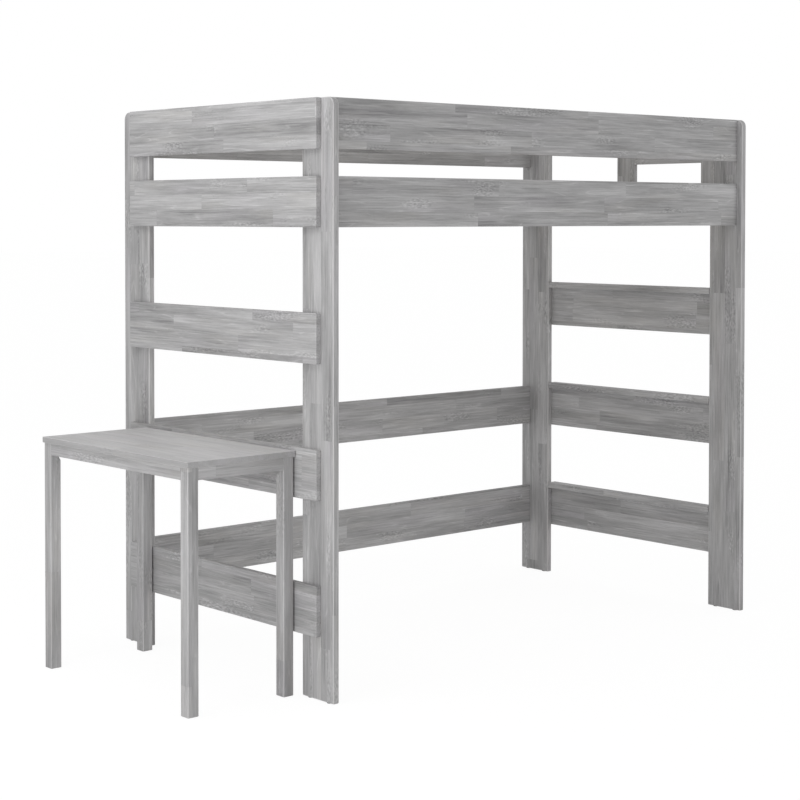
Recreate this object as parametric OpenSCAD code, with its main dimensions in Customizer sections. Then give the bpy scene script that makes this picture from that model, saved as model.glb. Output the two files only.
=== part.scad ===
// High loft bed with a free-standing desk at its left end.
// X runs along the bed, Y from front to back, Z up. The origin is on the floor,
// below the middle of the whole set with the desk pushed up to the bed.

/* [Bed frame] */
// Clear length between the posts of the two end panels
inner_l = 1930; // [1500:10:2300]
// Width of the bed over its posts
bed_w = 1100; // [900:10:1600]
// Height of the bed
bed_h = 1800; // [1480:10:2200]
// Width of a post
post_w = 145; // [115:1:180]
// Thickness of a post
post_t = 22; // [18:1:32]
// Radius of the top outer corner of a post
post_r = 25; // [2:1:50]

/* [Rails and slats] */
// Height of every rail and end slat
board_h = 152; // [120:1:190]
// Thickness of an end slat
slat_t = 18; // [15:1:28]
// Distance from the edge of a post to the end of a slat
slat_inset = 58; // [46:1:72]
// Thickness of a long rail
rail_t = 22; // [18:1:30]
// Distance from the edge of a post to the face of a rail
rail_setback = 23; // [5:1:30]
// Radius of the corners of rails and slats
corner_r = 4; // [1:1:15]
// Open height between the top board and the second one
guard_gap = 81; // [50:1:120]
// Height of the lowest boards above the floor
foot_gap = 194; // [60:1:300]

/* [Ladder end] */
// Thickness of a ladder tread
tread_t = 22; // [18:1:30]
// Clear width of the climbing opening beside the guard
access_w = 358; // [250:1:450]
// Thickness of the short guard
guard_t = 18; // [15:1:22]
// Width of the guard stile beside the opening
stile_back_w = 86; // [50:1:110]
// Width of the guard stile beside the post
stile_front_w = 44; // [30:1:60]
// Gap between a post and the guard or a tread
end_gap = 2; // [1:0.5:5]

/* [Mattress base] */
// Side of a square support cleat
cleat_w = 35; // [25:1:50]
// Height of a cleat above the bottom of its rail
cleat_rise = 10; // [0:1:40]
// Number of deck slats
deck_n = 12; // [8:1:12]
// Width of a deck slat
deck_w = 90; // [60:1:100]
// Thickness of a deck slat
deck_t = 18; // [15:1:25]
// Gap at each end of a cleat or deck slat
deck_gap = 3; // [1:1:8]

/* [Desk] */
// Length of the desk top, along the bed's end
desk_l = 795; // [600:5:1000]
// Depth of the desk top
desk_d = 400; // [320:5:600]
// Height of the desk
desk_h = 743; // [600:1:900]
// Thickness of the desk top
desk_top_t = 18; // [15:1:30]
// Overhang of the desk top past its legs
overhang = 5; // [0:1:30]
// Side of a square desk leg
leg_w = 38; // [32:1:50]
// Height of an apron
apron_h = 38; // [36:1:80]
// Thickness of an apron
apron_t = 18; // [15:1:22]
// Distance below the apron where the inner corner of a leg starts to be cut away
cut_drop = 18; // [14:1:30]
// Gap between the desk top and the end slats
desk_gap = 1; // [1:1:50]

/* [Hardware] */
// Diameter of a dowel
dowel_d = 8; // [6:1:10]
// Diameter of a wood screw
screw_d = 4; // [3:0.5:5]
// Diameter of a hanger bolt
bolt_d = 8; // [6:1:10]
// Height of a floor glide
glide_h = 2; // [1:0.5:5]
// Diameter of a floor glide
glide_d = 18; // [10:1:18]
// Thickness of the hook and keeper plates
plate_t = 2.5; // [2:0.5:3]
// Width of the hook and keeper plates
plate_w = 14; // [10:1:16]
// Thickness of a corner bracket
bracket_t = 2; // [1.5:0.5:3]

/* [Hidden] */
$fn = 32;
eps = 1;
wood = [0.62, 0.62, 0.61];
wood_dark = [0.52, 0.52, 0.51];
steel = [0.72, 0.73, 0.75];
nylon = [0.25, 0.25, 0.26];

// Places along X: faces of the posts, and the desk
reach = desk_gap + desk_d;
total_l = reach + 2 * slat_t + 2 * post_t + inner_l;
x_left = reach + slat_t - total_l / 2;
x_in_l = x_left + post_t;
x_in_r = x_in_l + inner_l;
x_right = x_in_r + post_t;
desk_x = x_left - slat_t - reach;

// Places along Y
y_front = -bed_w / 2;
y_rail = y_front + rail_setback;
y_deck = y_rail + rail_t;
deck_l = -2 * y_deck;
slat_l = bed_w - 2 * slat_inset;
tread_l = bed_w - 2 * post_w - 2 * end_gap;
guard_l = bed_w - 2 * post_w - access_w - end_gap;
y_guard = y_front + post_w + end_gap;
y_board = y_guard + stile_front_w;
board_l = guard_l - stile_front_w - stile_back_w;

// Places along Z: the bottom edge of the boards at each level, from the top
z_top = bed_h - board_h;
z_bed = z_top - guard_gap - board_h;
pitch = (z_bed - foot_gap) / 3;
level = [z_top, z_bed, z_bed - pitch, z_bed - 2 * pitch, foot_gap];
z_cleat = z_bed + cleat_rise;
z_deck = z_cleat + cleat_w;
deck_pitch = inner_l / deck_n;
z_leg_top = desk_h - desk_top_t;
z_apron = z_leg_top - apron_h;

// Dowels: depth in a slat, in a post, and the spare depth of each hole
dowel_slat = slat_t * 0.55;
dowel_post = post_t * 0.6;
dowel_spare = 1;
dowel_in = 22;
dowel_up = 38;
tread_dowel_up = tread_t * 0.6;
tread_dowel_down = 20;
guard_dowel = 18;
tread_dowels = [for (k = [-1, 0, 1]) k * tread_l * 0.4];

// Rail joints: half height of a plate, places of its screws and of its hooks
plate_half = 55;
keeper_screw_at = 49;
rail_screw_at = 38;
hook_at = 22;
hook_neck = 9;
hook_drop = 7;
hook_w = 3;
hook_play = 0.2;
keeper_screw_l = 14;
rail_screw_l = 25;

// Guard screws
guard_screw_l = guard_t + slat_t * 0.75;
side_screw_l = stile_front_w + end_gap + 24;

// Deck and cleat screws
deck_screw_l = deck_t + cleat_w * 0.6;
cleat_screw_l = cleat_w + rail_t * 0.7;

// Desk corner: the chamfer of a leg reaches the inner faces of the aprons
chamfer = leg_w - apron_t;
cut_rise = chamfer / sqrt(2);
bracket_leg = 22;
bracket_wing = 22;
bracket_h = 30;
bracket_at = leg_w + bracket_leg;
bracket_slope = bracket_t * (sqrt(2) - 1);
z_bolt = z_apron + apron_h / 2;
bolt_start = 12;
bolt_plate = (bracket_at + apron_t) / sqrt(2);
bolt_end = bolt_plate + bracket_t + 18;
flange_t = 2;
nut_t = 6.5;
nut_af = 13;
wing_screw_l = bracket_t + apron_t * 0.75;
wing_screw_up = 8;
top_screw_sink = 16;
top_screw_head = 10;
top_screw_l = apron_h - top_screw_sink + desk_top_t * 0.65;
glide_nail_d = 2;
glide_nail_l = 12;

// The long boards: name, Y of the front face, level
front_rails = [["front_rail_top", 1], ["front_rail_bed", 2]];
back_rails = [["back_rail_top", 1], ["back_rail_bed", 2], ["back_rail_middle", 4], ["back_rail_low", 5]];
posts = [
    ["post_front_left", -1, -1], ["post_back_left", -1, 1],
    ["post_front_right", 1, -1], ["post_back_right", 1, 1]
];
legs = [
    ["desk_leg_outer_front", -1, -1], ["desk_leg_outer_back", -1, 1],
    ["desk_leg_inner_front", 1, -1], ["desk_leg_inner_back", 1, 1]
];

// ---- Shared shapes ----

// A flat board, l by h, with rounded corners, t thick
module board(l, h, t) {
    linear_extrude(t) {
        translate([corner_r, 0]) square([l - 2 * corner_r, h]);
        translate([0, corner_r]) square([l, h - 2 * corner_r]);
        for (x = [corner_r, l - corner_r], y = [corner_r, h - corner_r])
            translate([x, y]) circle(corner_r);
    }
}

// Stands a flat shape up: its length along X, its thickness towards +Y
module along_x(p, t) {
    translate([p[0], p[1] + t, p[2]]) rotate([90, 0, 0]) children();
}

// Stands a flat shape up: its length along Y, its thickness towards +X
module along_y(p) {
    translate(p) rotate([90, 0, 90]) children();
}

// A countersunk screw along +Z, with its flat head at the origin
module screw(d, l) {
    head_h = d / 2;
    cylinder(h = head_h, d1 = 2 * d, d2 = d);
    translate([0, 0, head_h / 2]) cylinder(h = l - head_h / 2, d = d);
}

// A floor glide that stands on the floor, with its nail
module glide() {
    cylinder(h = glide_h, d = glide_d);
    cylinder(h = glide_h + glide_nail_l, d = glide_nail_d);
}

// ---- Bed: where its hardware goes ----

// Dowels between the slats and posts of an end panel, pointing from slat to post (+X)
module slat_dowel_places(first) {
    for (i = [first:5], side = [-1, 1], k = [0, 1]) {
        from_edge = k == 0 ? slat_inset + dowel_in : post_w - dowel_in;
        up = k == 0 ? dowel_up : board_h - dowel_up;
        translate([0, side * (bed_w / 2 - from_edge), level[i - 1] + up]) rotate([0, 90, 0]) children();
    }
}

module left_dowels(extra) {
    translate([x_left, 0, 0]) slat_dowel_places(1) translate([0, 0, -dowel_slat - extra])
        cylinder(h = dowel_slat + dowel_post + 2 * extra, d = dowel_d);
}

module right_dowels(extra) {
    translate([x_right, 0, 0]) slat_dowel_places(2) translate([0, 0, -dowel_post - extra])
        cylinder(h = dowel_slat + dowel_post + 2 * extra, d = dowel_d);
}

// Upright dowels between a tread and its slat
module tread_dowels(extra) {
    for (i = [3:5], y = tread_dowels)
        translate([x_right + slat_t / 2, y, level[i - 1] + board_h - tread_dowel_down - extra])
            cylinder(h = tread_dowel_down + tread_dowel_up + 2 * extra, d = dowel_d);
}

// Level dowels between the guard board and its two stiles
module guard_dowels(extra) {
    for (y = [y_board, y_board + board_l], up = [dowel_up, board_h - dowel_up])
        translate([x_right - guard_t / 2, y - guard_dowel - extra, z_top + up])
            rotate([-90, 0, 0]) cylinder(h = 2 * (guard_dowel + extra), d = dowel_d);
}

// The frame of each rail joint: origin in the rail's end face, +X into the post
module rail_joints() {
    for (r = concat([for (f = front_rails) [y_rail, f[1]]], [for (b = back_rails) [-y_deck, b[1]]]))
        for (end = [[x_in_l, 180], [x_in_r, 0]])
            translate([end[0], r[0] + rail_t / 2, level[r[1] - 1] + board_h / 2])
                rotate([0, 0, end[1]]) children();
}

// Screws of one rail joint: two into the rail and two into the post
module joint_screws() {
    for (side = [-1, 1]) {
        translate([0, 0, side * keeper_screw_at]) rotate([0, 90, 0]) screw(screw_d, keeper_screw_l);
        translate([0, 0, side * rail_screw_at]) rotate([0, -90, 0]) screw(screw_d, rail_screw_l);
    }
}

// Room in a post for the keeper plate, its hooks and its screws
module keeper_room() {
    translate([0, -plate_w / 2, -plate_half]) cube([plate_t, plate_w, 2 * plate_half]);
    for (z = [-hook_at, hook_at])
        translate([0, -hook_w, z - hook_neck - hook_drop - 2])
            cube([2 * plate_t + 3, 2 * hook_w, 2 * hook_neck + hook_drop + 12]);
}

// Screws that hold the guard to the sill slat and to the front post
module guard_screw_set() {
    for (y = [y_guard + stile_front_w / 2, y_board + board_l + stile_back_w / 2],
         up = [dowel_up, board_h - dowel_up])
        translate([x_right - guard_t, y, z_bed + up]) rotate([0, 90, 0]) screw(screw_d, guard_screw_l);
    for (part = [1, 2])
        translate([x_right - guard_t / 2, y_board, z_bed + board_h + guard_gap * part / 3])
            rotate([90, 0, 0]) screw(screw_d, side_screw_l);
}

// Screws down through the deck slats, and through the cleats into the bed rails
module deck_screw_set() {
    for (i = [1:deck_n], side = [-1, 1])
        translate([x_in_l + (i - 0.5) * deck_pitch, side * (-y_deck - cleat_w / 2), z_deck + deck_t])
            rotate([180, 0, 0]) screw(screw_d, deck_screw_l);
    for (i = [1:2:deck_n - 1], side = [-1, 1])
        translate([x_in_l + i * deck_pitch, side * (-y_deck - cleat_w), z_cleat + cleat_w / 2])
            rotate([-90 * side, 0, 0]) screw(screw_d, cleat_screw_l);
}

module post_glide_set() {
    for (x = [x_in_l - post_t / 2, x_in_r + post_t / 2], side = [-1, 1], y = [post_w / 5, post_w * 4 / 5])
        translate([x, side * (bed_w / 2 - y), 0]) glide();
}

// ---- Bed: boards ----

// One post: side_x is -1 at the left end, side_y is -1 at the front
module post(side_x, side_y) {
    color(wood) difference() {
        translate([side_x < 0 ? x_left : x_in_r, 0, 0])
            mirror([0, side_y > 0 ? 1 : 0, 0]) along_y([0, y_front, glide_h])
                linear_extrude(post_t) {
                    square([post_w, bed_h - glide_h - post_r]);
                    translate([post_r, 0]) square([post_w - post_r, bed_h - glide_h]);
                    translate([post_r, bed_h - glide_h - post_r]) circle(post_r, $fn = 64);
                }
        if (side_x < 0) left_dowels(dowel_spare);
        if (side_x > 0) right_dowels(dowel_spare);
        rail_joints() keeper_room();
        rail_joints() joint_screws();
        post_glide_set();
        guard_screw_set();
    }
}

module left_slat(i) {
    color(wood) difference() {
        along_y([x_left - slat_t, -slat_l / 2, level[i - 1]]) board(slat_l, board_h, slat_t);
        left_dowels(dowel_spare);
    }
}

module right_slat(i) {
    color(wood) difference() {
        along_y([x_right, -slat_l / 2, level[i - 1]]) board(slat_l, board_h, slat_t);
        right_dowels(dowel_spare);
        tread_dowels(dowel_spare);
        guard_screw_set();
    }
}

module ladder_tread(i) {
    color(wood) difference() {
        translate([x_in_r, -tread_l / 2, level[i - 1] + board_h]) cube([post_t + slat_t, tread_l, tread_t]);
        tread_dowels(dowel_spare);
    }
}

module guard_board() {
    color(wood) difference() {
        translate([x_right - guard_t, y_board, z_top]) cube([guard_t, board_l, board_h]);
        guard_dowels(dowel_spare);
    }
}

module guard_stile(y, w) {
    color(wood) difference() {
        translate([x_right - guard_t, y, z_bed]) cube([guard_t, w, bed_h - z_bed]);
        guard_dowels(dowel_spare);
        guard_screw_set();
    }
}

module rail(y, i) {
    color(wood) difference() {
        along_x([x_in_l, y, level[i - 1]], rail_t) board(inner_l, board_h, rail_t);
        rail_joints() translate([-plate_t, -plate_w / 2, -plate_half])
            cube([plate_t + eps, plate_w, 2 * plate_half]);
        rail_joints() joint_screws();
        deck_screw_set();
    }
}

module cleat(side) {
    color(wood) difference() {
        translate([x_in_l + deck_gap, side * (-y_deck - cleat_w / 2) - cleat_w / 2, z_cleat])
            cube([inner_l - 2 * deck_gap, cleat_w, cleat_w]);
        deck_screw_set();
    }
}

module deck_slat(i) {
    color(wood_dark) difference() {
        translate([x_in_l + (i - 0.5) * deck_pitch - deck_w / 2, y_deck + deck_gap, z_deck])
            cube([deck_w, deck_l - 2 * deck_gap, deck_t]);
        deck_screw_set();
    }
}

// ---- Bed: hardware ----

module rail_hook_plates() {
    color(steel) rail_joints() difference() {
        union() {
            translate([-plate_t, -plate_w / 2, -plate_half]) cube([plate_t, plate_w, 2 * plate_half]);
            for (z = [-hook_at, hook_at]) {
                translate([-eps, -hook_w / 2, z - hook_neck])
                    cube([plate_t + 3 + eps, hook_w, 2 * hook_neck]);
                translate([plate_t + hook_play, -hook_w / 2, z - hook_neck - hook_drop])
                    cube([3 - hook_play, hook_w, 2 * hook_neck + hook_drop]);
            }
        }
        joint_screws();
    }
}

module post_keeper_plates() {
    color(steel) rail_joints() difference() {
        translate([0, -plate_w / 2, -plate_half]) cube([plate_t, plate_w, 2 * plate_half]);
        for (z = [-hook_at, hook_at])
            translate([-eps, -hook_w / 2 - hook_play, z - hook_neck])
                cube([plate_t + 2 * eps, hook_w + 2 * hook_play, 2 * hook_neck + 11]);
        joint_screws();
    }
}

module plate_screws() {
    color(steel) rail_joints() joint_screws();
}

module deck_screws() {
    color(steel) deck_screw_set();
}

module guard_screws() {
    color(steel) guard_screw_set();
}

module end_panel_dowels() {
    color(wood_dark) {
        left_dowels(0);
        right_dowels(0);
        tread_dowels(0);
        guard_dowels(0);
    }
}

module post_glides() {
    color(nylon) post_glide_set();
}

// ---- Desk ----

// The frame of each desk corner: origin at the outer corner of the leg, +X and +Y inwards
module desk_corner(side_x, side_y) {
    translate([desk_x + desk_d / 2, 0, 0]) mirror([side_x > 0 ? 1 : 0, 0, 0])
        mirror([0, side_y > 0 ? 1 : 0, 0])
            translate([overhang - desk_d / 2, overhang - desk_l / 2, 0]) children();
}

module desk_corners() {
    for (g = legs) desk_corner(g[1], g[2]) children();
}

// The hanger bolt's line: origin on the outer corner, +Z along the diagonal, inwards
module bolt_line() {
    translate([0, 0, z_bolt]) rotate([0, 0, 45]) rotate([0, 90, 0]) children();
}

module hanger_bolt() {
    bolt_line() translate([0, 0, bolt_start]) cylinder(h = bolt_end - bolt_start, d = bolt_d);
}

// Four screws of a bracket: two in each apron
module bracket_screws() {
    for (turn = [0, 1], up = [-wing_screw_up, wing_screw_up])
        mirror([turn, -turn, 0])
            translate([bracket_at + bracket_wing / 2, apron_t + bracket_t, z_bolt + up])
                rotate([90, 0, 0]) screw(screw_d, wing_screw_l);
}

// Screws up through the aprons into the top, with room for the driver below them
module top_screws(sink) {
    long_mid = desk_l / 2 - overhang;
    short_mid = desk_d / 2 - overhang;
    spots = [[apron_t / 2, long_mid * 0.6], [short_mid * 0.65, apron_t / 2]];
    for (p = spots) desk_corners() translate([p[0], p[1], z_apron + top_screw_sink]) {
        screw(screw_d, top_screw_l);
        if (sink) translate([0, 0, -top_screw_sink - eps])
            cylinder(h = top_screw_sink + eps, d = top_screw_head);
    }
}

module desk_top() {
    color(wood) difference() {
        translate([desk_x, -desk_l / 2, z_leg_top]) linear_extrude(desk_top_t) {
            translate([corner_r, 0]) square([desk_d - 2 * corner_r, desk_l]);
            translate([0, corner_r]) square([desk_d, desk_l - 2 * corner_r]);
            for (x = [corner_r, desk_d - corner_r], y = [corner_r, desk_l - corner_r])
                translate([x, y]) circle(corner_r);
        }
        top_screws(false);
    }
}

module desk_leg(side_x, side_y) {
    reach_u = leg_w * sqrt(2);
    u_cut = reach_u - cut_rise;
    z_cut = z_apron - cut_drop;
    color(wood) desk_corner(side_x, side_y) difference() {
        translate([0, 0, glide_h]) cube([leg_w, leg_w, z_leg_top - glide_h]);
        rotate([90, 0, 45]) translate([0, 0, -leg_w]) linear_extrude(2 * leg_w)
            polygon([
                [u_cut, z_leg_top + eps], [u_cut, z_cut + cut_rise],
                [reach_u + eps, z_cut - eps], [reach_u + eps, z_leg_top + eps]
            ]);
        hanger_bolt();
        translate([leg_w / 2, leg_w / 2, 0]) glide();
    }
}

// An apron along the bed's end: side -1 is the outer one, 1 the one by the bed
module desk_apron_long(side) {
    color(wood) difference() {
        desk_corner(side, -1) translate([0, leg_w, z_apron])
            cube([apron_t, desk_l - 2 * overhang - 2 * leg_w, apron_h]);
        desk_corners() bracket_screws();
        top_screws(true);
    }
}

// An apron across the desk: side -1 is the front one
module desk_apron_short(side) {
    color(wood) difference() {
        desk_corner(-1, side) translate([leg_w, 0, z_apron])
            cube([desk_d - 2 * overhang - 2 * leg_w, apron_t, apron_h]);
        desk_corners() bracket_screws();
        top_screws(true);
    }
}

module desk_corner_brackets() {
    color(steel) desk_corners() difference() {
        translate([0, 0, z_bolt - bracket_h / 2]) linear_extrude(bracket_h) polygon([
            [bracket_at + bracket_wing, apron_t], [bracket_at, apron_t],
            [apron_t, bracket_at], [apron_t, bracket_at + bracket_wing],
            [apron_t + bracket_t, bracket_at + bracket_wing],
            [apron_t + bracket_t, bracket_at + bracket_slope],
            [bracket_at + bracket_slope, apron_t + bracket_t],
            [bracket_at + bracket_wing, apron_t + bracket_t]
        ]);
        bolt_line() translate([0, 0, bolt_plate - eps]) cylinder(h = bracket_t + 2 * eps, d = bolt_d + 0.6);
        bracket_screws();
    }
}

module desk_hanger_bolts() {
    color(steel) desk_corners() hanger_bolt();
}

module desk_flange_nuts() {
    color(steel) desk_corners() bolt_line() translate([0, 0, bolt_plate + bracket_t]) difference() {
        union() {
            cylinder(h = flange_t, d = 1.4 * nut_af);
            cylinder(h = flange_t + nut_t, d = nut_af / cos(30), $fn = 6);
        }
        translate([0, 0, -eps]) cylinder(h = flange_t + nut_t + 2 * eps, d = bolt_d);
    }
}

module desk_screws() {
    color(steel) {
        desk_corners() bracket_screws();
        top_screws(false);
    }
}

module desk_glides() {
    color(nylon) desk_corners() translate([leg_w / 2, leg_w / 2, 0]) glide();
}

// ---- Nodes ----

for (p = posts) post(p[1], p[2]);
for (i = [1:5]) left_slat(i);
for (i = [2:5]) right_slat(i);
guard_board();
guard_stile(y_guard, stile_front_w);  // guard_stile_front
guard_stile(y_board + board_l, stile_back_w);  // guard_stile_back
for (i = [3:5]) ladder_tread(i);
for (r = front_rails) rail(y_rail, r[1]);
for (r = back_rails) rail(-y_deck, r[1]);
cleat(-1);  // cleat_front
cleat(1);  // cleat_back
for (i = [1:deck_n]) deck_slat(i);
desk_top();
desk_apron_long(-1);  // desk_apron_outer
desk_apron_long(1);  // desk_apron_inner
desk_apron_short(-1);  // desk_apron_front
desk_apron_short(1);  // desk_apron_back
for (g = legs) desk_leg(g[1], g[2]);
desk_corner_brackets();
desk_hanger_bolts();
desk_flange_nuts();
desk_screws();
desk_glides();
rail_hook_plates();
post_keeper_plates();
plate_screws();
deck_screws();
end_panel_dowels();
guard_screws();
post_glides();
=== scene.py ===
"""Visual model of a high loft bed with a small free-standing desk at its end.

Every board stands where its CAD node's box says. A board carries three attributes that its wood
reads: "grain" (metres along, across and through the board, with a shift of its own), an edge mask (1 on
the eased edges, which are painted paler: partly the wash worn through, partly a painted highlight),
"end" (1 on end grain) and "broad" (1 on the broad faces). A desk leg has the first three.
"""
import math

import bpy
import numpy as np
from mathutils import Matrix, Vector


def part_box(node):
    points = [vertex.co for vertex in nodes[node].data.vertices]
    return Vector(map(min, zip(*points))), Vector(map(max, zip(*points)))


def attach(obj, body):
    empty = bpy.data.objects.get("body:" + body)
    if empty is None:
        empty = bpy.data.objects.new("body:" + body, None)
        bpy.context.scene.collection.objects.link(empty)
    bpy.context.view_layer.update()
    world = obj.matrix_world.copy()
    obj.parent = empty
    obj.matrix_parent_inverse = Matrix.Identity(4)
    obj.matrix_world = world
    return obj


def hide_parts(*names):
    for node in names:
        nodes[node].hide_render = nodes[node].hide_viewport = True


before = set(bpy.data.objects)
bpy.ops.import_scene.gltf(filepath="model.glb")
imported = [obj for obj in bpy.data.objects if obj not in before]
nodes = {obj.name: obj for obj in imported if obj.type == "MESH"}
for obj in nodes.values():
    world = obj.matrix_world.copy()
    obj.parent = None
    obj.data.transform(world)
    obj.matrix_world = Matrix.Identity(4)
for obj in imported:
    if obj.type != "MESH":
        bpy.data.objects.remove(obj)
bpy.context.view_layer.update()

# ---- Sizes in metres ----

POST_EASE = 0.003
BOARD_EASE = 0.0016
DECK_EASE = 0.0025
APRON_EASE = 0.0008
CORNER_RADIUS = 0.004
POST_TOP_RADIUS = 0.025
ARC_STEPS = 5
POST_ARC_STEPS = 9

# How much paler an eased edge is painted, from 0 to 1: partly the wash worn through, partly a painted
# highlight
POST_RUB_AND_HIGHLIGHT = 1.0
LEG_RUB_AND_HIGHLIGHT = 0.5
TOP_RUB_AND_HIGHLIGHT = 0.4
BOARD_RUB_AND_HIGHLIGHT = 0.15

LEG_CHAMFER = 0.020
LEG_CUT_START = 0.018
CREASE = 0.0003

SCREW_SIDES = 32
SCREW_HEAD = 0.008
SCREW_CORE = 0.004
SCREW_PROUD = 0.0003
SCREW_DEPTH = 0.006
SLOT_HALF_WIDTH = 0.0006
SLOT_DEPTH = 0.0012
# As shares of the head's radius
SLOT_REACH = 0.62
SLOT_FADE = 0.15
DOWEL_UP = 0.038

# ---- The camera, in degrees and metres: it looks along the bed from the desk end ----

VIEW_AZIMUTH = -40.46
VIEW_TILT = 1.49
VIEW_DISTANCE = 6.195
VIEW_ASIDE = -0.224
VIEW_HEIGHT = 1.4443
LENS_MM = 80.6
SHIFT_X = 0.0758
SHIFT_Y = -0.17

# ---- Floor and light ----

# Half the floor's side in metres, and how many points it has along a side
FLOOR_REACH = 60
FLOOR_POINTS = 5
# Glow and surround are multiples of white; the share is how much of the floor's look is its glow
FLOOR_GLOW = 1.06
FLOOR_GLOW_SHARE = 0.88
SURROUND = 0.57
# Each light: name, place, point that it faces, side in metres, power in watts
LIGHTS = [
    ("key_left", (-3.6, -1.1, 0.8), (-0.6, -0.1, 0.5), 1.5, 21.0),
    ("front_fill", (2.8, -3.4, 1.0), (0.6, 0.3, 0.9), 1.2, 11.0),
    ("desk_top_light", (-1.9, -0.2, 2.6), (-1.0, 0.0, 0.74), 0.8, 6.5),
]

AXES = "XYZ"
FIGURE = ("Fine", "Hairs", "Streak", "Figure", "Lines", "Pores", "Chatter")
random = np.random.default_rng(7)


# ---- Meshes ----

def make_piece(name, points, faces, normals=None):
    """A mesh object at the origin from points, a list of faces and, if given, each point's normal."""
    mesh = bpy.data.meshes.new(name)
    mesh.from_pydata(points.tolist(), [], faces)
    mesh.polygons.foreach_set("use_smooth", np.ones(len(mesh.polygons), dtype=bool))
    if normals is not None:
        mesh.normals_split_custom_set_from_vertices(normals.tolist())
    piece = bpy.data.objects.new(name, mesh)
    bpy.context.scene.collection.objects.link(piece)
    return piece


def store(piece, name, values):
    """Keeps one number, or one vector, per point under that attribute name."""
    kind, field = ("FLOAT_VECTOR", "vector") if values.ndim == 2 else ("FLOAT", "value")
    attribute = piece.data.attributes.new(name, kind, "POINT")
    attribute.data.foreach_set(field, values.astype(np.float32).ravel())


def ring_faces(rows, count):
    """Four-sided faces between rows of points that close on themselves, and a cap on each end row.

    The face after point j of row i joins points j and j + 1 of rows i and i + 1, counted round the row.
    """
    i, j = np.meshgrid(np.arange(rows - 1), np.arange(count), indexing="ij")
    after = (j + 1) % count
    here, above = i * count, (i + 1) * count
    walls = np.stack([here + j, here + after, above + after, above + j], axis=-1)
    first = list(range(count - 1, -1, -1))
    last = list(range((rows - 1) * count, rows * count))
    return walls.reshape(-1, 4).tolist() + [first, last]


def board_outline(length, width, radii, steps):
    """Points and outward normals round a board's broad face, counter-clockwise from the far corner.

    Each corner is a quarter circle: point = centre + radius x (cos a, sin a), with the normal
    (cos a, sin a), where a runs over a quarter turn and the centre stands one radius in from both edges.
    """
    corners = [(1, 1), (0, 1), (0, 0), (1, 0)]
    turn = np.linspace(0, math.pi / 2, steps)
    points, normals = [], []
    for quarter, ((far, wide), radius) in enumerate(zip(corners, radii)):
        angle = turn + quarter * math.pi / 2
        normal = np.stack([np.cos(angle), np.sin(angle)], axis=-1)
        centre = [length - radius if far else radius, width - radius if wide else radius]
        points.append(np.array(centre) + radius * normal)
        normals.append(normal)
    return np.concatenate(points), np.concatenate(normals)


def eased_edge(thickness, ease):
    """Inset, depth, lean, facing and edge paling of the rows from one broad face, over the edge, to the
    other.

    Each eased edge is a quarter circle: inset = ease x (1 - sin t) and depth = ease x (1 - cos t), t from
    0 to a quarter turn. The normal leans sideways by sin t and faces along the depth by cos t, and the edge
    paling is sin 2t: partly the wash worn through, partly a painted highlight.
    """
    t = np.linspace(0, math.pi / 2, ARC_STEPS)
    inset = ease * (1 - np.sin(t))
    depth = ease * (1 - np.cos(t))
    inset = np.concatenate([inset, inset[::-1]])
    lean = np.concatenate([np.sin(t), np.sin(t)[::-1]])
    facing = np.concatenate([-np.cos(t), np.cos(t)[::-1]])
    depth = np.concatenate([depth, thickness - depth[::-1]])
    return inset, depth, lean, facing, np.abs(2 * lean * facing)


def to_world(values, axes):
    """Puts columns that run along, across and through a board into X, Y, Z order."""
    placed = np.empty_like(values)
    placed[:, axes] = values
    return placed


def finish_piece(piece, body, slot, material, *replaced):
    """Gives a piece its body and material, and hides the CAD nodes that it stands for. The slot is not used.
    """
    piece.data.materials.append(material)
    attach(piece, body)
    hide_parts(*replaced)


def board(node, run, body, slot, material, ease=BOARD_EASE, radii=None, steps=ARC_STEPS, rubbed=BOARD_RUB_AND_HIGHLIGHT):
    """A board with eased edges in its CAD node's box, its grain along the axis named by run.

    The surface is the outline moved inwards along its normals by the inset of each row of the eased edge,
    at that row's depth: point = outline - inset x normal, depth.
    """
    low, high = (np.array(corner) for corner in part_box(node))
    size = high - low
    along = AXES.index(run)
    across, through = sorted((axis for axis in range(3) if axis != along), key=lambda axis: -size[axis])
    axes = [along, across, through]
    radii = radii or [max(ease, CORNER_RADIUS)] * 4
    edge, edge_normal = board_outline(size[along], size[across], radii, steps)
    inset, depth, lean, facing, rub_and_highlight = eased_edge(size[through], ease)
    flat = edge[None] - inset[:, None, None] * edge_normal[None]
    rows, count = flat.shape[:2]
    deep = np.broadcast_to(depth[:, None, None], (rows, count, 1))
    local = np.concatenate([flat, deep], axis=-1).reshape(-1, 3)
    normal = np.concatenate([
        lean[:, None, None] * edge_normal[None],
        np.broadcast_to(facing[:, None, None], (rows, count, 1)),
    ], axis=-1).reshape(-1, 3)
    faces = ring_faces(rows, count)
    if np.linalg.det(np.eye(3)[axes]) < 0:
        faces = [face[::-1] for face in faces]
    piece = make_piece("board_" + node, low + to_world(local, axes), faces, to_world(normal, axes))
    store(piece, "grain", local + random.uniform(0, 20, 3))
    # Paler eased edges: partly the wash worn through, partly a painted highlight
    store(piece, "rub_and_highlight", rubbed * np.repeat(rub_and_highlight, count))
    store(piece, "end", normal[:, 0] ** 2)
    store(piece, "broad", normal[:, 2] ** 2)
    finish_piece(piece, body, slot, material, node)


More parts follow.
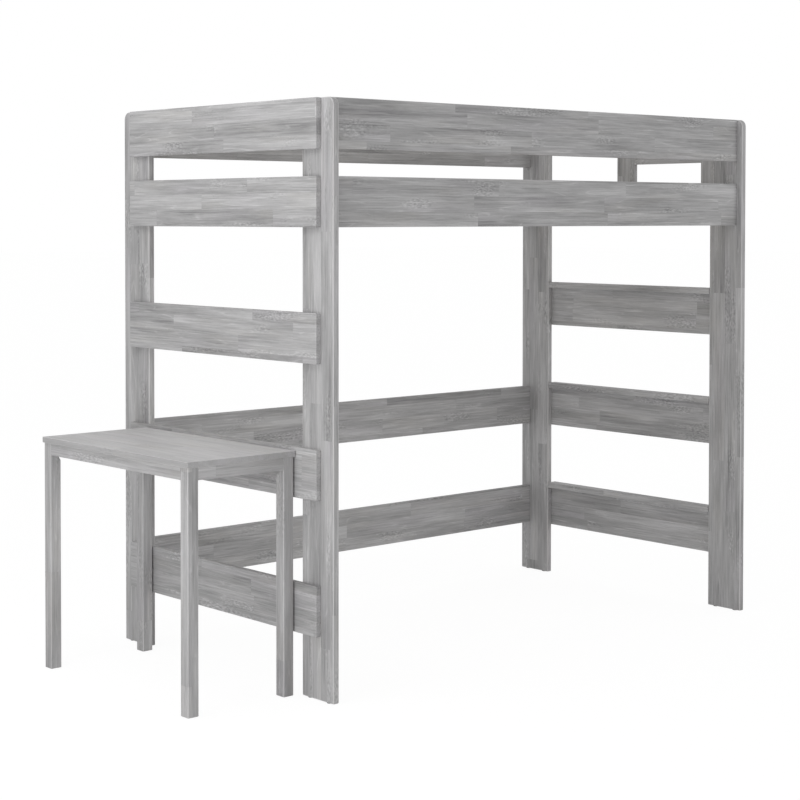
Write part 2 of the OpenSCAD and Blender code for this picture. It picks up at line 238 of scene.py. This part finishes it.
def leg_outline(side, chamfer, radius):
    """Points and normals round a square leg whose corner at (side, side) is cut back by the chamfer.

    The three whole corners are quarter circles. The cut corner is two eighth circles, tangent to the sides
    and to the line x + y = 2 side - chamfer. They meet in one quarter circle while the chamfer is smaller
    than that.
    """
    half_turn = np.linspace(0, math.pi / 4, ARC_STEPS)
    cut = max(chamfer, radius * (2 - math.sqrt(2)))
    near = side - radius
    far = side - cut - radius * (math.sqrt(2) - 1)
    arcs = [((near, far), half_turn), ((far, near), half_turn + math.pi / 4)]
    quarter = np.linspace(0, math.pi / 2, ARC_STEPS)
    for corner, centre in enumerate([(radius, near), (radius, radius), (near, radius)], start=1):
        arcs.append((centre, quarter + corner * math.pi / 2))
    points, normals, rub_and_highlight = [], [], []
    for centre, angle in arcs:
        normal = np.stack([np.cos(angle), np.sin(angle)], axis=-1)
        points.append(np.array(centre) + radius * normal)
        normals.append(normal)
        rub_and_highlight.append(np.abs(np.sin(2 * angle)))
    return np.concatenate(points), np.concatenate(normals), np.concatenate(rub_and_highlight)


def desk_leg(node, side_x, side_y, apron_foot, material):
    """A square desk leg with eased edges, whose inner corner is cut back to meet the aprons.

    Rows of the leg's outline are stacked up its height. The chamfer is 0 up to the start of the cut, then
    grows by the square root of 2 times the height above it until it is whole, so the run-out slopes at 45
    degrees.
    """
    low, high = (np.array(corner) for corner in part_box(node))
    side = high[0] - low[0]
    cut_start = apron_foot - LEG_CUT_START
    cut_end = cut_start + LEG_CHAMFER / math.sqrt(2)
    ease = np.linspace(0, math.pi / 2, ARC_STEPS)
    # Each row: height, chamfer, inset from the leg's sides, downward lean of the cut's normals
    foot = [
        (low[2] + BOARD_EASE * (1 - math.sin(t)), 0.0, BOARD_EASE * (1 - math.cos(t)), 0.0)
        for t in ease[::-1]
    ]
    lean = math.sqrt(0.5)
    body = [
        (cut_start - CREASE, 0.0, 0.0, 0.0), (cut_start, 0.0, 0.0, lean), (cut_end, LEG_CHAMFER, 0.0, lean),
        (cut_end + CREASE, LEG_CHAMFER, 0.0, 0.0), (high[2], LEG_CHAMFER, 0.0, 0.0),
    ]
    points, normals, rubs_and_highlights = [], [], []
    for height, chamfer, inset, slope in foot + body:
        ring, ring_normal, ring_rub_and_highlight = leg_outline(side, chamfer, POST_EASE)
        cut_part = np.arange(len(ring)) < 2 * ARC_STEPS
        down = np.where(cut_part, slope, 0.0) + inset / BOARD_EASE
        ring = ring - inset * ring_normal
        points.append(np.column_stack([ring, np.full(len(ring), height - low[2])]))
        tilted = np.column_stack([ring_normal, -down])
        normals.append(tilted / np.linalg.norm(tilted, axis=1, keepdims=True))
        rubs_and_highlights.append(ring_rub_and_highlight)
    local, normal = np.concatenate(points), np.concatenate(normals)
    faces = ring_faces(len(points), len(points[0]))
    # The outline's cut corner is at (+, +), so a leg is mirrored until that corner faces the desk's middle
    flip = np.array([-side_x, -side_y, 1.0])
    placed = np.where(flip < 0, high - low - local, local)
    if flip[0] * flip[1] < 0:
        faces = [face[::-1] for face in faces]
    piece = make_piece("leg_" + node, low + placed, faces, normal * flip)
    store(piece, "grain", local[:, [2, 0, 1]] + random.uniform(0, 20, 3))
    # Paler eased edges: partly the wash worn through, partly a painted highlight
    store(piece, "rub_and_highlight", LEG_RUB_AND_HIGHLIGHT * np.concatenate(rubs_and_highlights))
    store(piece, "end", normal[:, 2] ** 2)
    finish_piece(piece, "desk", "washed_wood", material, node)


def screw_shape():
    """Points and faces of one countersunk screw head along +Z, with a cross recess.

    On a grid of angle and radius the top is a shallow dome, height = proud x (1 - (radius / head) squared),
    less the recess where the nearer of |x| and |y| is under half the slot's width, out to the slot's reach.
    Below it a cone narrows to the core.
    """
    around = np.linspace(0, 2 * math.pi, SCREW_SIDES, endpoint=False)
    head, core = SCREW_HEAD / 2, SCREW_CORE / 2
    radius = head * np.array([0.12, 0.24, 0.36, 0.48, 0.56, 0.64, 0.80, 0.93, 1.0])
    r, a = np.meshgrid(radius, around, indexing="ij")
    x, y = r * np.cos(a), r * np.sin(a)
    nearer = np.minimum(np.abs(x), np.abs(y))
    across_slot = np.clip(1.5 - nearer / SLOT_HALF_WIDTH, 0, 1)
    along_slot = np.clip((SLOT_REACH * head - r) / (SLOT_FADE * head) + 0.5, 0, 1)
    z = SCREW_PROUD * (1 - (r / head) ** 2) - SLOT_DEPTH * across_slot * along_slot
    top = np.stack([x, y, z], axis=-1)
    below = [(head, -SCREW_PROUD), (core, core - head), (core, -SCREW_DEPTH)]
    cone = np.array([[(q * math.cos(t), q * math.sin(t), h) for t in around] for q, h in below])
    grid = np.concatenate([top, cone])
    return grid.reshape(-1, 3), ring_faces(len(grid), len(around))


def screws(name, places, body, material, *replaced):
    """Copies of the screw head at each (point, direction that it faces), as one piece."""
    shape, shape_faces = screw_shape()
    points, faces = [], []
    for at, facing in places:
        z = np.array(facing, float)
        x = np.roll(np.abs(z), 1)
        turned = np.stack([x, np.cross(z, x), z])
        faces += [[index + len(points) * len(shape) for index in face] for face in shape_faces]
        points.append(np.array(at) + shape @ turned)
    piece = make_piece(name, np.concatenate(points), [face[::-1] for face in faces])
    piece.data.set_sharp_from_angle(angle=math.radians(40))
    finish_piece(piece, body, "zinc_steel", material, *replaced)


# ---- Shader building ----

class Wiring:
    """Adds nodes to one tree. An input takes either another node's output or a plain value."""

    def __init__(self, tree):
        self.tree = tree

    def put(self, kind, **settings):
        node = self.tree.nodes.new(kind)
        for key, value in settings.items():
            setattr(node, key, value)
        return node

    def feed(self, socket, value):
        if isinstance(value, bpy.types.NodeSocket):
            self.tree.links.new(value, socket)
        else:
            socket.default_value = value

    def math(self, operation, *values, clamp=False):
        node = self.put("ShaderNodeMath", operation=operation, use_clamp=clamp)
        for socket, value in zip(node.inputs, values):
            self.feed(socket, value)
        return node.outputs[0]

    def vector(self, operation, *values):
        node = self.put("ShaderNodeVectorMath", operation=operation)
        for socket, value in zip(node.inputs, values):
            self.feed(socket, value)
        return node.outputs[0]

    def split(self, vector):
        node = self.put("ShaderNodeSeparateXYZ")
        self.feed(node.inputs[0], vector)
        return node.outputs

    def join(self, x, y, z):
        node = self.put("ShaderNodeCombineXYZ")
        for socket, value in zip(node.inputs, (x, y, z)):
            self.feed(socket, value)
        return node.outputs[0]

    def span(self, value, low, high, to_low=0.0, to_high=1.0):
        """Maps low..high smoothly onto to_low..to_high, and holds the ends beyond."""
        node = self.put("ShaderNodeMapRange", interpolation_type="SMOOTHSTEP")
        for socket, given in zip(node.inputs, (value, low, high, to_low, to_high)):
            self.feed(socket, given)
        return node.outputs[0]

    def noise(self, vector, stretch, detail=2.0, roughness=0.5, distortion=0.0):
        """Noise from 0 to 1 whose cells are 1 / stretch metres long on each axis."""
        node = self.put("ShaderNodeTexNoise", noise_dimensions="3D")
        self.feed(node.inputs["Vector"], self.vector("MULTIPLY", vector, stretch))
        node.inputs["Scale"].default_value = 1.0
        node.inputs["Detail"].default_value = detail
        node.inputs["Roughness"].default_value = roughness
        node.inputs["Distortion"].default_value = distortion
        return node.outputs["Fac"]

    def blend(self, amount, first, second, mode="MIX"):
        node = self.put("ShaderNodeMix", data_type="RGBA", blend_type=mode)
        # A mix node lists its sockets for every data type: 0 is the amount, 6 and 7 are the colours
        for index, given in ((0, amount), (6, first), (7, second)):
            self.feed(node.inputs[index], given)
        return node.outputs[2]


def new_group(name, inputs, outputs):
    """An empty shader group with named sockets, each given as name: (kind, default) or name: kind."""
    tree = bpy.data.node_groups.new(name, "ShaderNodeTree")
    for label, (kind, default) in inputs.items():
        socket = tree.interface.new_socket(label, in_out="INPUT", socket_type="NodeSocket" + kind)
        socket.default_value = default
    for label, kind in outputs.items():
        tree.interface.new_socket(label, in_out="OUTPUT", socket_type="NodeSocket" + kind)
    wiring = Wiring(tree)
    return wiring, wiring.put("NodeGroupInput").outputs, wiring.put("NodeGroupOutput").inputs


def place_group(wiring, group, **values):
    """Puts a group into a tree; an input's name is written with underscores for spaces."""
    node = wiring.put("ShaderNodeGroup", node_tree=group)
    for label, value in values.items():
        wiring.feed(node.inputs[label.replace("_", " ")], value)
    return node.outputs


def stave_group():
    """Edge-glued staves: strips of one width, cut into lengths that start at random in each strip."""
    w, given, out = new_group("glued_staves", {
        "Grain": ("Vector", (0, 0, 0)), "Strip Width": ("Float", 0.046), "Stave Length": ("Float", 0.42),
    }, {"Shade": "Float", "Joint": "Float", "Own Grain": "Vector"})
    along, across, _ = w.split(given["Grain"])
    strips = w.math("DIVIDE", across, given["Strip Width"])
    strip = w.math("FLOOR", strips)
    jog = w.put("ShaderNodeTexWhiteNoise", noise_dimensions="1D")
    w.feed(jog.inputs["W"], strip)
    start = w.math("MULTIPLY", jog.outputs["Value"], 9.0)
    lengths = w.math("ADD", w.math("DIVIDE", along, given["Stave Length"]), start)
    stave = w.math("FLOOR", lengths)
    chance = w.put("ShaderNodeTexWhiteNoise", noise_dimensions="2D")
    w.feed(chance.inputs["Vector"], w.join(strip, stave, 0.0))
    side_gap = w.math("MULTIPLY", w.math("PINGPONG", strips, 0.5), given["Strip Width"])
    end_gap = w.math("MULTIPLY", w.math("PINGPONG", lengths, 0.5), given["Stave Length"])
    joint = w.span(w.math("MINIMUM", side_gap, end_gap), 0.0, 0.0011, 1.0, 0.0)
    w.feed(out["Shade"], chance.outputs["Value"])
    w.feed(out["Joint"], joint)
    shift = w.vector("MULTIPLY", chance.outputs["Color"], (5, 5, 5))
    w.feed(out["Own Grain"], w.vector("ADD", given["Grain"], shift))
    return w.tree


def fibre_group():
    """The figure of the wood: fibres, hairs, streaks, growth lines, pores and clusters of chatter marks."""
    w, given, out = new_group("wood_fibres", {
        "Grain": ("Vector", (0, 0, 0)), "Growth Lines": ("Float", 7.0),
    }, {
        "Fine": "Float", "Hairs": "Float", "Streak": "Float", "Figure": "Float", "Lines": "Float",
        "Pores": "Float", "Chatter": "Float",
    })
    grain = given["Grain"]
    figure = w.noise(grain, (1.9, 17, 17), 2.0, 0.5, 0.35)
    bands = w.math("PINGPONG", w.math("MULTIPLY", figure, given["Growth Lines"]), 0.5)
    broken = w.noise(grain, (7, 60, 60), 1.0)
    lines = w.math("MULTIPLY", w.span(bands, 0.0, 0.11, 1.0, 0.0), w.span(broken, 0.45, 0.62))
    hairs = w.noise(grain, (5.5, 290, 290), 2.0, 0.55)
    pale_hairs = w.span(hairs, 0.60, 0.70)
    dark_hairs = w.span(hairs, 0.30, 0.40, 1.0, 0.0)
    pores = w.span(w.noise(grain, (95, 950, 950), 1.0), 0.63, 0.72)
    cluster = w.span(w.noise(grain, (3.6, 15, 15), 1.0), 0.57, 0.70)
    marks = w.noise(grain, (85, 230, 230), 1.0)
    w.feed(out["Fine"], w.noise(grain, (22, 620, 620), 2.0, 0.6))
    w.feed(out["Hairs"], w.math("SUBTRACT", pale_hairs, dark_hairs))
    w.feed(out["Streak"], w.noise(grain, (5.5, 185, 185), 3.0, 0.66))
    w.feed(out["Figure"], figure)
    w.feed(out["Lines"], lines)
    w.feed(out["Pores"], pores)
    w.feed(out["Chatter"], w.math("MULTIPLY", cluster, w.math("SUBTRACT", marks, 0.5)))
    return w.tree


def wash_group():
    """A thin wash over bare wood: pale on raised fibres, deep in pores, paler on edges: partly worn through,
    partly a painted highlight.
    """
    w, given, out = new_group("brushed_wash", {
        "Pale": ("Color", (1, 1, 1, 1)), "Deep": ("Color", (0, 0, 0, 1)), "Contrast": ("Float", 1.0),
        "Shade": ("Float", 0.5), "Joint": ("Float", 0.0), "Fine": ("Float", 0.5), "Hairs": ("Float", 0.0),
        "Streak": ("Float", 0.5), "Figure": ("Float", 0.5), "Lines": ("Float", 0.0),
        "Pores": ("Float", 0.0), "Chatter": ("Float", 0.0), "Wear": ("Float", 0.0), "End": ("Float", 0.0),
        "Grain": ("Vector", (0, 0, 0)),
    }, {"Color": "Color", "Height": "Float", "Dryness": "Float"})
    centred = [("Shade", 0.12), ("Fine", 0.40), ("Streak", 1.05), ("Figure", 1.25)]
    added = [
        ("Joint", -0.08), ("Hairs", 0.24), ("Lines", 0.20), ("Pores", -0.16), ("Chatter", 1.5), ("End", 0.10),
    ]
    tone = 0.0
    for label, weight in centred:
        tone = w.math("ADD", tone, w.math("MULTIPLY", w.math("SUBTRACT", given[label], 0.5), weight))
    for label, weight in added:
        tone = w.math("ADD", tone, w.math("MULTIPLY", given[label], weight))
    level = w.math("ADD", w.math("MULTIPLY", tone, given["Contrast"]), 0.5)
    # Eased edges painted paler: partly the wash worn through, partly a painted highlight
    level = w.math("ADD", level, w.math("MULTIPLY", given["Wear"], 0.90), clamp=True)
    washed = w.blend(level, given["Deep"], given["Pale"])
    hue = w.noise(given["Grain"], (3.1, 14, 14), 1.0)
    other = w.noise(w.vector("ADD", given["Grain"], (9, 9, 9)), (2.4, 11, 11), 1.0)
    warm = w.blend(w.span(hue, 0.50, 0.75, 0.0, 0.75), washed, (1.012, 1.004, 0.984, 1), "MULTIPLY")
    cool = w.blend(w.span(other, 0.50, 0.75, 0.0, 0.75), warm, (1.0, 0.988, 1.008, 1), "MULTIPLY")
    relief = w.math("ADD", w.math("MULTIPLY", given["Fine"], 0.5), w.math("MULTIPLY", given["Streak"], 0.6))
    sunk = w.math("ADD", given["Pores"], w.math("MULTIPLY", given["Joint"], 0.8))
    relief = w.math("SUBTRACT", relief, sunk)
    w.feed(out["Color"], cool)
    w.feed(out["Height"], w.math("ADD", relief, given["Chatter"]))
    w.feed(out["Dryness"], w.math("ADD", 0.56, w.math("MULTIPLY", level, -0.14)))
    return w.tree


def scuff_group():
    """Scuffs on a small metal or plastic part: fine scratches both ways, and blotches of handling."""
    w, given, out = new_group("scuffs", {"Place": ("Vector", (0, 0, 0))}, {
        "Scratch": "Float", "Blotch": "Float",
    })
    one_way = w.noise(given["Place"], (90, 1500, 400), 2.0)
    other_way = w.noise(given["Place"], (1400, 120, 300), 2.0)
    w.feed(out["Scratch"], w.span(w.math("MAXIMUM", one_way, other_way), 0.58, 0.74))
    w.feed(out["Blotch"], w.noise(given["Place"], (160, 160, 160), 3.0, 0.6))
    return w.tree


def new_material(name):
    """A named material with its wiring and its Principled shader."""
    material = bpy.data.materials.new(name)
    material.use_nodes = True
    return material, Wiring(material.node_tree), material.node_tree.nodes["Principled BSDF"]


def bump(wiring, shader, height, strength, distance):
    node = wiring.put("ShaderNodeBump")
    node.inputs["Strength"].default_value = strength
    node.inputs["Distance"].default_value = distance
    wiring.feed(node.inputs["Height"], height)
    wiring.feed(shader.inputs["Normal"], node.outputs["Normal"])


def attribute(wiring, name, output):
    return wiring.put("ShaderNodeAttribute", attribute_name=name).outputs[output]


def wood(name, groups, pale, deep, contrast, strip=0.050, stave=0.62, lines=7.0, painted_edge_shade=1.0):
    """A washed or bare wood: staves, fibres and wash on a board's own attributes.

    A painted edge shade under 1 darkens everything but the broad faces by that much: painted shade on the
    edges, so that the broad faces look lit.
    """
    material, w, shader = new_material(name)
    grain = attribute(w, "grain", "Vector")
    staves = place_group(w, groups["staves"], Grain=grain, Strip_Width=strip, Stave_Length=stave)
    fibres = place_group(w, groups["fibres"], Grain=staves["Own Grain"], Growth_Lines=lines)
    wash = place_group(
        w, groups["wash"], Pale=pale, Deep=deep, Contrast=contrast, Grain=staves["Own Grain"],
        Shade=staves["Shade"], Joint=staves["Joint"], Wear=attribute(w, "rub_and_highlight", "Fac"),
        End=attribute(w, "end", "Fac"),
        **{label: fibres[label] for label in FIGURE},
    )
    color = wash["Color"]
    # Painted shade: every face but the broad ones is darkened, so the broad faces read as lit
    if painted_edge_shade < 1.0:
        edge_painted_shade = w.blend(1.0, color, (painted_edge_shade, painted_edge_shade, painted_edge_shade, 1), "MULTIPLY")
        color = w.blend(attribute(w, "broad", "Fac"), edge_painted_shade, color)
    w.feed(shader.inputs["Base Color"], color)
    w.feed(shader.inputs["Roughness"], wash["Dryness"])
    shader.inputs["Specular IOR Level"].default_value = 0.5
    bump(w, shader, wash["Height"], 0.35, 0.0006)
    return material


def dowel_wood(groups):
    """Turned beech for the dowels, on object coordinates: they lie hidden in the joints."""
    material, w, shader = new_material("beech_dowel")
    place = w.put("ShaderNodeTexCoord").outputs["Object"]
    fibres = place_group(w, groups["fibres"], Grain=place)
    tone = w.math("ADD", w.math("MULTIPLY", fibres["Streak"], 0.7), w.math("MULTIPLY", fibres["Fine"], 0.3))
    w.feed(shader.inputs["Base Color"], w.blend(tone, (0.42, 0.28, 0.17, 1), (0.66, 0.50, 0.34, 1)))
    shader.inputs["Roughness"].default_value = 0.6
    bump(w, shader, fibres["Streak"], 0.3, 0.0003)
    return material


def zinc_steel(groups):
    """Bright zinc plate, with scratches and dull blotches."""
    material, w, shader = new_material("zinc_plate")
    place = w.put("ShaderNodeTexCoord").outputs["Object"]
    scuffs = place_group(w, groups["scuffs"], Place=place)
    plate = w.blend(scuffs["Blotch"], (0.52, 0.53, 0.56, 1), (0.74, 0.75, 0.77, 1))
    w.feed(shader.inputs["Base Color"], plate)
    shine = w.math("ADD", 0.24, w.math("MULTIPLY", scuffs["Blotch"], 0.22))
    w.feed(shader.inputs["Roughness"], w.math("ADD", shine, w.math("MULTIPLY", scuffs["Scratch"], 0.15)))
    shader.inputs["Metallic"].default_value = 1.0
    bump(w, shader, scuffs["Scratch"], 0.2, 0.00005)
    return material


def nylon(groups):
    """Moulded dark nylon for the floor glides."""
    material, w, shader = new_material("glide_nylon")
    place = w.put("ShaderNodeTexCoord").outputs["Object"]
    scuffs = place_group(w, groups["scuffs"], Place=place)
    dark = w.blend(scuffs["Blotch"], (0.035, 0.035, 0.037, 1), (0.075, 0.075, 0.078, 1))
    w.feed(shader.inputs["Base Color"], dark)
    w.feed(shader.inputs["Roughness"], w.math("ADD", 0.42, w.math("MULTIPLY", scuffs["Scratch"], 0.25)))
    bump(w, shader, scuffs["Blotch"], 0.15, 0.0001)
    return material


# ---- The bed and the desk ----

def post_radii(node):
    """A post's corner radii: its top corner on the outer side is well rounded, the rest are eased."""
    low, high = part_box(node)
    outer_is_back = low.y + high.y > 0
    round_corner = POST_TOP_RADIUS
    eased = POST_EASE
    # Corners come as far and wide, near and wide, near and narrow, far and narrow: far is the top and wide
    # is the back
    return [round_corner, eased, eased, eased] if outer_is_back else [eased, eased, eased, round_corner]


def build_bed(wash, bare):
    def washed(node, run, **sizes):
        board(node, run, "bed", "washed_wood", wash, **sizes)

    for node in sorted(nodes):
        if node.startswith("post_") and node not in ("post_glides", "post_keeper_plates"):
            washed(node, "Z", ease=POST_EASE, radii=post_radii(node), steps=POST_ARC_STEPS, rubbed=POST_RUB_AND_HIGHLIGHT)
        elif node.startswith(("left_slat_", "right_slat_", "ladder_tread_")) or node == "guard_board":
            washed(node, "Y", radii=None if "slat" in node else [BOARD_EASE] * 4)
        elif node.startswith("guard_stile_"):
            washed(node, "Z", radii=[BOARD_EASE] * 4)
        elif node.startswith(("front_rail_", "back_rail_")):
            washed(node, "X")
        elif node.startswith("cleat_"):
            board(node, "X", "bed", "deck_wood", bare, ease=DECK_EASE, radii=[DECK_EASE] * 4)
        elif node.startswith("deck_slat_"):
            board(node, "Y", "bed", "deck_wood", bare, ease=DECK_EASE, radii=[DECK_EASE] * 4)


def build_desk(wash, painted_sheen_top_wash):
    apron_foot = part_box("desk_apron_front")[0].z
    board("desk_top", "Y", "desk", "washed_wood", painted_sheen_top_wash, rubbed=TOP_RUB_AND_HIGHLIGHT)
    for node, run in (("outer", "Y"), ("inner", "Y"), ("front", "X"), ("back", "X")):
        board("desk_apron_" + node, run, "desk", "washed_wood", wash, ease=APRON_EASE,
              radii=[APRON_EASE] * 4)
    for side_x, x_name in ((-1, "outer"), (1, "inner")):
        for side_y, y_name in ((-1, "front"), (1, "back")):
            desk_leg(f"desk_leg_{x_name}_{y_name}", side_x, side_y, apron_foot, wash)


def deck_screw_places():
    """Screws down into the cleats at both ends of each deck slat, and screws from the cleats into the rails.

    The screws into the rails stand halfway between slats 1 and 2, between 3 and 4, and so on.
    """
    cleats = {-1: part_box("cleat_front"), 1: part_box("cleat_back")}
    count = sum(node.startswith("deck_slat_") for node in nodes)
    slats = [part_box(f"deck_slat_{index}") for index in range(1, count + 1)]
    middles = [(low.x + high.x) / 2 for low, high in slats]
    places = []
    for side, (low, high) in cleats.items():
        middle_y, middle_z = (low.y + high.y) / 2, (low.z + high.z) / 2
        inner_y = high.y if side < 0 else low.y
        places += [((x, middle_y, slats[0][1].z), (0, 0, 1)) for x in middles]
        between = [(a + b) / 2 for a, b in zip(middles[0::2], middles[1::2])]
        places += [((x, inner_y, middle_z), (0, -side, 0)) for x in between]
    return places


def guard_screw_places():
    """Two screws through each guard stile into the sill slat, and two sideways into the front post."""
    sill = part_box("right_slat_2")
    front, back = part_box("guard_stile_front"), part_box("guard_stile_back")
    places = []
    for low, high in (front, back):
        for z in (sill[0].z + DOWEL_UP, sill[1].z - DOWEL_UP):
            places.append(((low.x, (low.y + high.y) / 2, z), (-1, 0, 0)))
    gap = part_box("guard_board")[0].z - sill[1].z
    middle_x = (front[0].x + front[1].x) / 2
    places += [((middle_x, front[1].y, sill[1].z + gap * part / 3), (0, 1, 0)) for part in (1, 2)]
    return places


def stage_floor():
    """A plain pale studio floor: the camera sees it glow close to white, with a trace of contact shadow.

    A floor much brighter than white would eat into the edges of the boards before it.
    """
    across = np.linspace(-FLOOR_REACH, FLOOR_REACH, FLOOR_POINTS)
    x, y = np.meshgrid(across, across, indexing="ij")
    points = np.stack([x, y, np.zeros_like(x)], axis=-1).reshape(-1, 3)
    i, j = np.meshgrid(np.arange(FLOOR_POINTS - 1), np.arange(FLOOR_POINTS - 1), indexing="ij")
    here, beside = i * FLOOR_POINTS + j, (i + 1) * FLOOR_POINTS + j
    faces = np.stack([here, beside, beside + 1, here + 1], axis=-1).reshape(-1, 4)
    floor = make_piece("studio_floor", points, faces.tolist())
    material, w, shader = new_material("studio_floor")
    shader.inputs["Base Color"].default_value = (0.92, 0.92, 0.92, 1)
    shader.inputs["Roughness"].default_value = 0.9
    glow = w.put("ShaderNodeEmission")
    glow.inputs["Color"].default_value = (1, 1, 1, 1)
    glow.inputs["Strength"].default_value = FLOOR_GLOW
    both = w.put("ShaderNodeMixShader")
    both.inputs[0].default_value = FLOOR_GLOW_SHARE
    w.feed(both.inputs[1], shader.outputs[0])
    w.feed(both.inputs[2], glow.outputs[0])
    seen = w.put("ShaderNodeMixShader")
    w.feed(seen.inputs[0], w.put("ShaderNodeLightPath").outputs["Is Camera Ray"])
    w.feed(seen.inputs[1], shader.outputs[0])
    w.feed(seen.inputs[2], both.outputs[0])
    w.feed(w.tree.nodes["Material Output"].inputs["Surface"], seen.outputs[0])
    floor.data.materials.append(material)


def stage_world():
    """A white surround: white to the camera, dimmer as a light."""
    world = bpy.data.worlds.new("white_surround")
    bpy.context.scene.world = world
    world.use_nodes = True
    w = Wiring(world.node_tree)
    background = world.node_tree.nodes["Background"]
    background.inputs["Color"].default_value = (1, 1, 1, 1)
    sight = w.math("MULTIPLY", w.put("ShaderNodeLightPath").outputs["Is Camera Ray"], 1.0 - SURROUND)
    w.feed(background.inputs["Strength"], w.math("ADD", sight, SURROUND))


def stage_lights():
    for name, place, facing, side, power in LIGHTS:
        lamp = bpy.data.lights.new(name, "AREA")
        lamp.shape = "SQUARE"
        lamp.size = side
        lamp.energy = power
        holder = bpy.data.objects.new(name, lamp)
        holder.location = place
        aim = np.array(facing) - np.array(place)
        level = math.hypot(aim[0], aim[1])
        holder.rotation_euler = (math.pi / 2 + math.atan2(aim[2], level), 0, math.atan2(-aim[0], aim[1]))
        bpy.context.scene.collection.objects.link(holder)


def stage_camera():
    """A camera at eye level, turned to look along the bed and tilted slightly down."""
    data = bpy.data.cameras.new("view")
    data.lens = LENS_MM
    data.sensor_width = 36.0
    data.shift_x = SHIFT_X
    data.shift_y = SHIFT_Y
    data.clip_end = 200.0
    camera = bpy.data.objects.new("view", data)
    turn = math.radians(VIEW_AZIMUTH)
    ahead = np.array([-math.sin(turn), math.cos(turn)])
    aside = np.array([math.cos(turn), math.sin(turn)])
    x, y = VIEW_ASIDE * aside - VIEW_DISTANCE * ahead
    camera.location = (x, y, VIEW_HEIGHT)
    camera.rotation_euler = (math.radians(90 - VIEW_TILT), 0, turn)
    bpy.context.scene.collection.objects.link(camera)
    bpy.context.scene.camera = camera


def set_material(piece, material):
    piece.data.materials.clear()
    piece.data.materials.append(material)


def paint_hardware(zinc, plastic, dowel):
    """Materials for the CAD nodes that stay as they are."""
    for node in ("rail_hook_plates", "post_keeper_plates", "plate_screws", "desk_corner_brackets",
                 "desk_hanger_bolts", "desk_flange_nuts", "desk_screws"):
        set_material(nodes[node], zinc)
    for node in ("post_glides", "desk_glides"):
        set_material(nodes[node], plastic)
    set_material(nodes["end_panel_dowels"], dowel)


groups = {"staves": stave_group(), "fibres": fibre_group(), "wash": wash_group(), "scuffs": scuff_group()}
bed_wash = wood("grey_washed_wood", groups, (0.655, 0.65, 0.654, 1), (0.255, 0.252, 0.254, 1), 1.0)
desk_wash = wood(
    "grey_washed_desk", groups, (0.655, 0.649, 0.653, 1), (0.27, 0.267, 0.269, 1), 0.85, strip=0.055,
)
# The desk top: a paler wash than the desk's, a painted sheen on its broad faces, and painted shade on its
# edges
painted_sheen_top_wash = wood(
    "grey_washed_top_painted_sheen", groups, (0.80, 0.792, 0.797, 1), (0.54, 0.534, 0.537, 1), 0.9, strip=0.055,
    painted_edge_shade=0.66,
)
bare_pine = wood(
    "bare_pine", groups, (0.68, 0.635, 0.56, 1), (0.49, 0.435, 0.355, 1), 0.9, strip=0.5, stave=5.0,
    lines=14.0,
)
zinc = zinc_steel(groups)

stage_camera()
build_bed(bed_wash, bare_pine)
build_desk(desk_wash, painted_sheen_top_wash)
screws("deck_screw_heads", deck_screw_places(), "bed", zinc, "deck_screws")
screws("guard_screw_heads", guard_screw_places(), "bed", zinc, "guard_screws")
paint_hardware(zinc, nylon(groups), dowel_wood(groups))
stage_floor()
stage_world()
stage_lights()

view_settings = bpy.context.scene.view_settings
view_settings.view_transform = "Standard"
